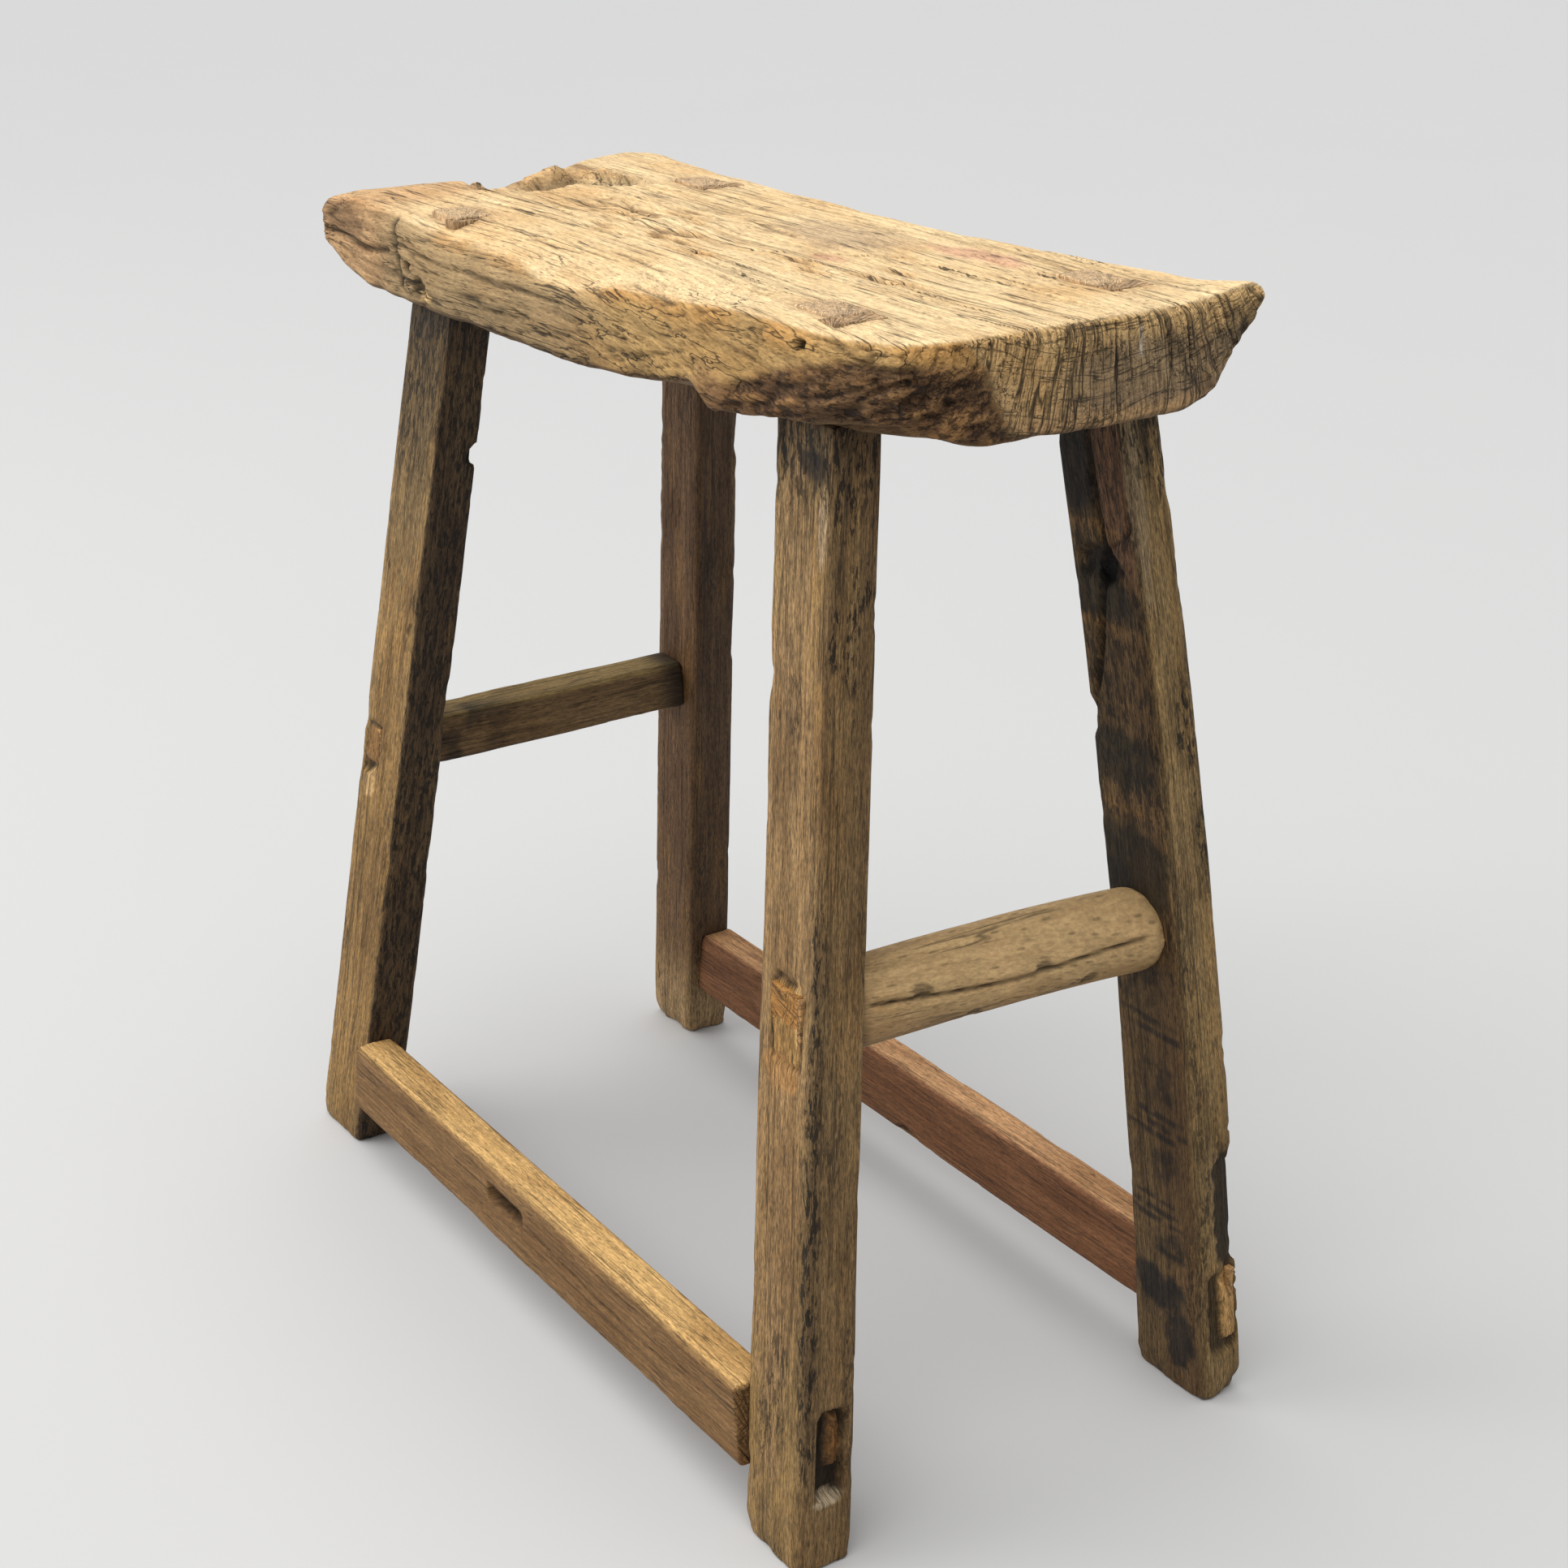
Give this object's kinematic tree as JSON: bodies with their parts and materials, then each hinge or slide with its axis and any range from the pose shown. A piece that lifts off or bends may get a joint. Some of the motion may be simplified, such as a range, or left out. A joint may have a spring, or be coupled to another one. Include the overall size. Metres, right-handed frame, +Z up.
{
  "type": "milking stool",
  "caption": "Rustic wooden stool: thick waney-edged plank seat on splayed square legs tied by low and high stretchers with wedged through tenons.",
  "frame": {"origin": "on the floor under the middle of the stool", "axes": "+Z up; +X along the seat towards its square-cut end, where the round rung is; +Y to the back, the side of the plain low stretcher"},
  "size_m": [0.498, 0.2532, 0.516],
  "materials": {
    "seat_elm": "worn bare, open grain",
    "leg_elm": "weathered and stained",
    "rail_wood": "worn bare, raised grain",
    "wedge_wood": "split, unfinished"
  },
  "bodies": {
    "root": {"seat_plank": "seat_elm", "leg_front_left": "leg_elm", "leg_back_left": "leg_elm", "leg_front_right": "leg_elm", "leg_back_right": "leg_elm", "stretcher_front": "rail_wood", "stretcher_back": "rail_wood", "stretcher_left": "rail_wood", "stretcher_right": "rail_wood", "head_wedge_front_left": "wedge_wood", "head_wedge_back_left": "wedge_wood", "head_wedge_front_right": "wedge_wood", "head_wedge_back_right": "wedge_wood", "wedge_front_left": "wedge_wood", "wedge_back_left": "wedge_wood", "wedge_back_right": "wedge_wood", "wedge_left_front": "wedge_wood", "wedge_left_back": "wedge_wood", "wedge_right_front": "wedge_wood", "wedge_right_back": "wedge_wood"}
  },
  "joints": []
}
